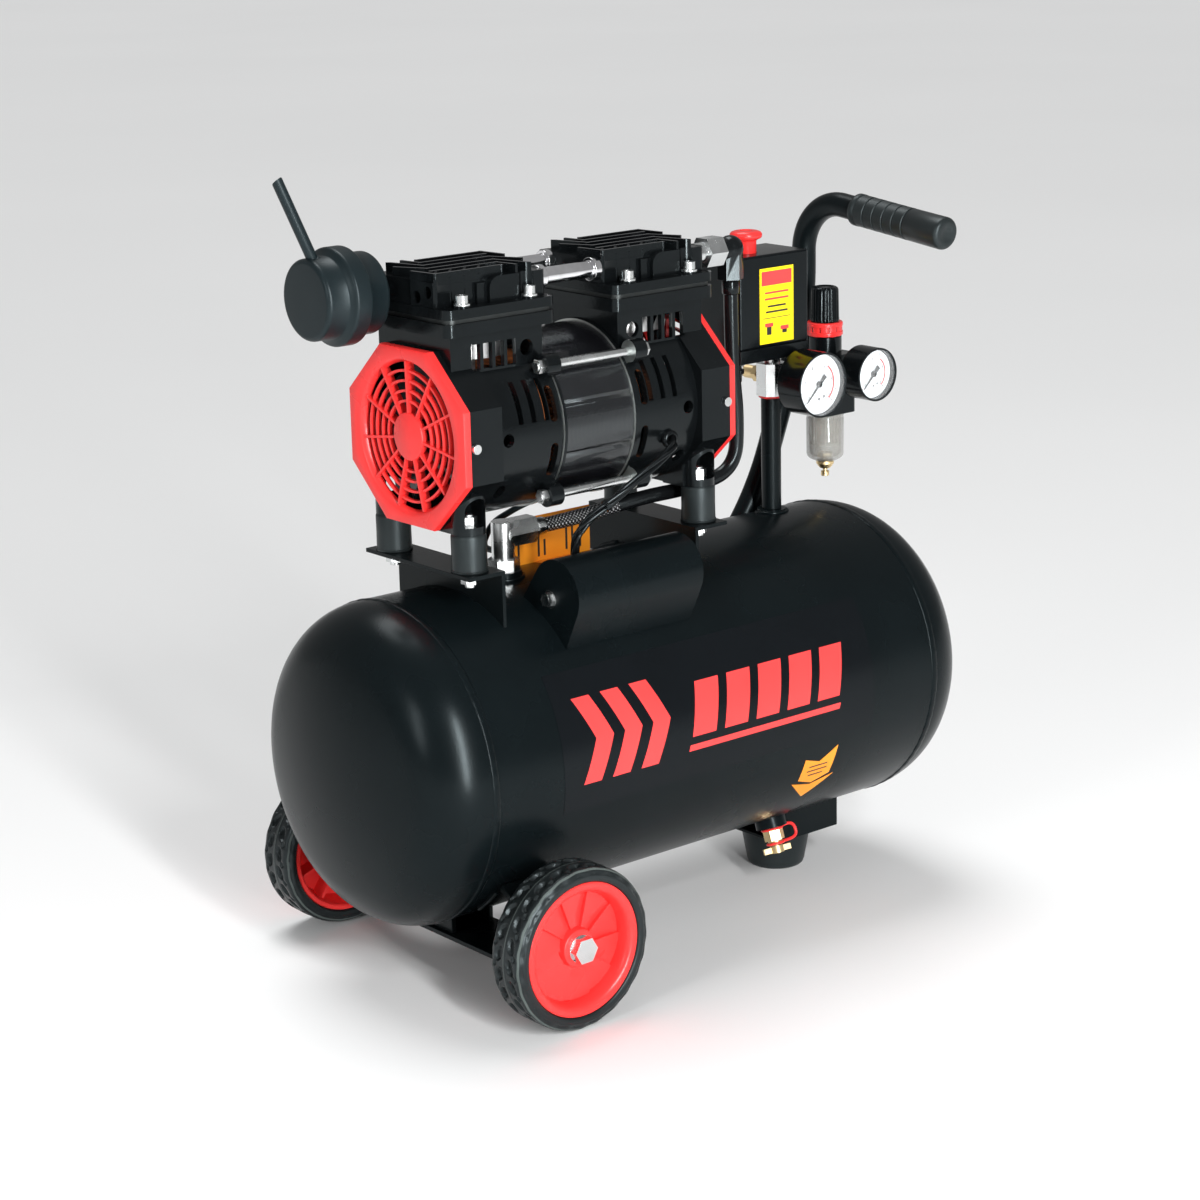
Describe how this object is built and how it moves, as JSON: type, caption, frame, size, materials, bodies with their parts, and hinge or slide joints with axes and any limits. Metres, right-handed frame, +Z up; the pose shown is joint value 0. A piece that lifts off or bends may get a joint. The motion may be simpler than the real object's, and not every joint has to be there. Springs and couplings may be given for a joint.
{
  "type": "portable air compressor",
  "caption": "Portable oil-free piston air compressor: motor and finned heads over a wheeled horizontal receiver, with pressure switch, gauges, filter regulator and handle.",
  "frame": {"origin": "on the floor under the middle of the receiver", "axes": "+X along the receiver towards the handle end, -Y towards the gauge side, +Z up"},
  "size_m": [0.58, 0.336, 0.6217],
  "materials": {
    "tank_paint": "satin black powder coat",
    "bracket_paint": "satin black",
    "casting_black": "gloss black painted die casting",
    "stator_black": "gloss black lacquered laminations",
    "gasket_silver": "bare edge",
    "copper_winding": "varnished copper wire",
    "bare_aluminium": "machined",
    "zinc": "zinc plated",
    "chrome_pipe": "bright",
    "steel_dark": "ground",
    "red_plastic": "bright red moulded",
    "black_plastic": "black moulded",
    "black_matte": "textured black",
    "white_plastic": "white",
    "rubber_black": "matte",
    "tyre_black": "solid rubber",
    "brass_fitting": "machined",
    "clear_bowl": "clear moulded",
    "gauge_glass": "clear",
    "dial_white": "printed",
    "needle_black": "satin",
    "label_panel": "printed film",
    "filter_white": "sintered",
    "piston_grey": "cast",
    "cable_black": "smooth"
  },
  "bodies": {
    "frame": {"tank_shell": "tank_paint", "tank_ends": "tank_paint", "tank_bosses": "tank_paint", "underside_brackets": "bracket_paint", "motor_brackets": "bracket_paint", "rubber_foot": "rubber_black", "rubber_mounts": "rubber_black", "wheel_bolts": "zinc", "screws_and_nuts": "zinc", "tie_rods": "zinc", "crankcases": "casting_black", "crankcase_gaskets": "gasket_silver", "stator_core": "stator_black", "stator_windings": "copper_winding", "shaft_bearings": "steel_dark", "fan_covers": "red_plastic", "cylinders": "bare_aluminium", "valve_plates": "steel_dark", "cylinder_heads": "casting_black", "crossover_pipes": "chrome_pipe", "intake_silencer": "black_matte", "intake_tube": "black_matte", "air_fittings": "zinc", "discharge_hose": "cable_black", "unloader_tube": "black_matte", "outlet_pipe": "bracket_paint", "manifold": "zinc", "relief_valve": "brass_fitting", "switch_base": "black_plastic", "switch_cover": "black_plastic", "gauge_cases": "black_plastic", "gauge_dials": "dial_white", "gauge_lenses": "gauge_glass", "regulator_body": "black_plastic", "filter_bowl": "clear_bowl", "filter_element": "filter_white", "handle_tube": "bracket_paint", "handle_grip": "rubber_black", "capacitor": "white_plastic", "capacitor_cover": "tank_paint", "motor_leads": "cable_black", "labels": "label_panel", "drain_valve_body": "brass_fitting"},
    "left_wheel": {"wheel_rim_left": "red_plastic", "tyre_left": "tyre_black"},
    "right_wheel": {"wheel_rim_right": "red_plastic", "tyre_right": "tyre_black"},
    "rotating_group": {"shaft": "steel_dark", "rotor_core": "steel_dark", "cooling_fans": "black_matte"},
    "front_piston": {"piston_front": "piston_grey"},
    "rear_piston": {"piston_rear": "piston_grey"},
    "switch_button": {"switch_knob": "red_plastic"},
    "pressure_spindle": {"regulator_spindle": "black_matte"},
    "pressure_knob": {"regulator_knob": "black_plastic"},
    "drain_screw": {"drain_wing_screw": "brass_fitting"},
    "tank_pointer": {"tank_gauge_needle": "needle_black"},
    "outlet_pointer": {"outlet_gauge_needle": "needle_black"},
    "bowl_button": {"bowl_drain": "brass_fitting"},
    "safety_ring": {"relief_ring": "zinc"}
  },
  "joints": [
    {"name": "left_wheel_spin", "type": "hinge", "parent": "frame", "child": "left_wheel", "pos_m": [-0.182, -0.149, 0.0625], "axis": [0, 1, 0], "continuous": true},
    {"name": "right_wheel_spin", "type": "hinge", "parent": "frame", "child": "right_wheel", "pos_m": [-0.182, 0.149, 0.0625], "axis": [0, 1, 0], "continuous": true},
    {"name": "motor_spin", "type": "hinge", "parent": "frame", "child": "rotating_group", "pos_m": [-0.073, 0, 0.4245], "axis": [1, 0, 0], "continuous": true},
    {"name": "front_piston_stroke", "type": "slide", "parent": "frame", "child": "front_piston", "axis": [0, 0, 1], "range_m": [0, 0.018]},
    {"name": "rear_piston_stroke", "type": "slide", "parent": "frame", "child": "rear_piston", "axis": [0, 0, 1], "range_m": [-0.018, 0]},
    {"name": "switch_pull", "type": "slide", "parent": "frame", "child": "switch_button", "axis": [0, 0, 1], "range_m": [-0.008, 0]},
    {"name": "regulator_turn", "type": "hinge", "parent": "frame", "child": "pressure_spindle", "pos_m": [0.236, 0.012, 0.45], "axis": [0, 0, 1], "range_deg": [-720, 720]},
    {"name": "regulator_lock_pull", "type": "slide", "parent": "pressure_spindle", "child": "pressure_knob", "axis": [0, 0, 1], "range_m": [0, 0.004]},
    {"name": "drain_turn", "type": "hinge", "parent": "frame", "child": "drain_screw", "pos_m": [0.118, -0.05165, 0.03611], "axis": [0, -0.342, -0.9397], "range_deg": [0, 720]},
    {"name": "tank_gauge_sweep", "type": "hinge", "parent": "frame", "child": "tank_pointer", "pos_m": [0.174, -0.035, 0.417], "axis": [0, 1, 0], "range_deg": [0, 270], "stiffness_Nm_per_rad": 0.0004},
    {"name": "outlet_gauge_sweep", "type": "hinge", "parent": "frame", "child": "outlet_pointer", "pos_m": [0.236, -0.039, 0.417], "axis": [0, 1, 0], "range_deg": [0, 270], "stiffness_Nm_per_rad": 0.0004},
    {"name": "bowl_drain_push", "type": "slide", "parent": "frame", "child": "bowl_button", "axis": [0, 0, 1], "range_m": [0, 0.002]},
    {"name": "safety_ring_pull", "type": "slide", "parent": "frame", "child": "safety_ring", "axis": [0, 1, 0], "range_m": [0, 0.003], "stiffness_N_per_m": 2000}
  ]
}
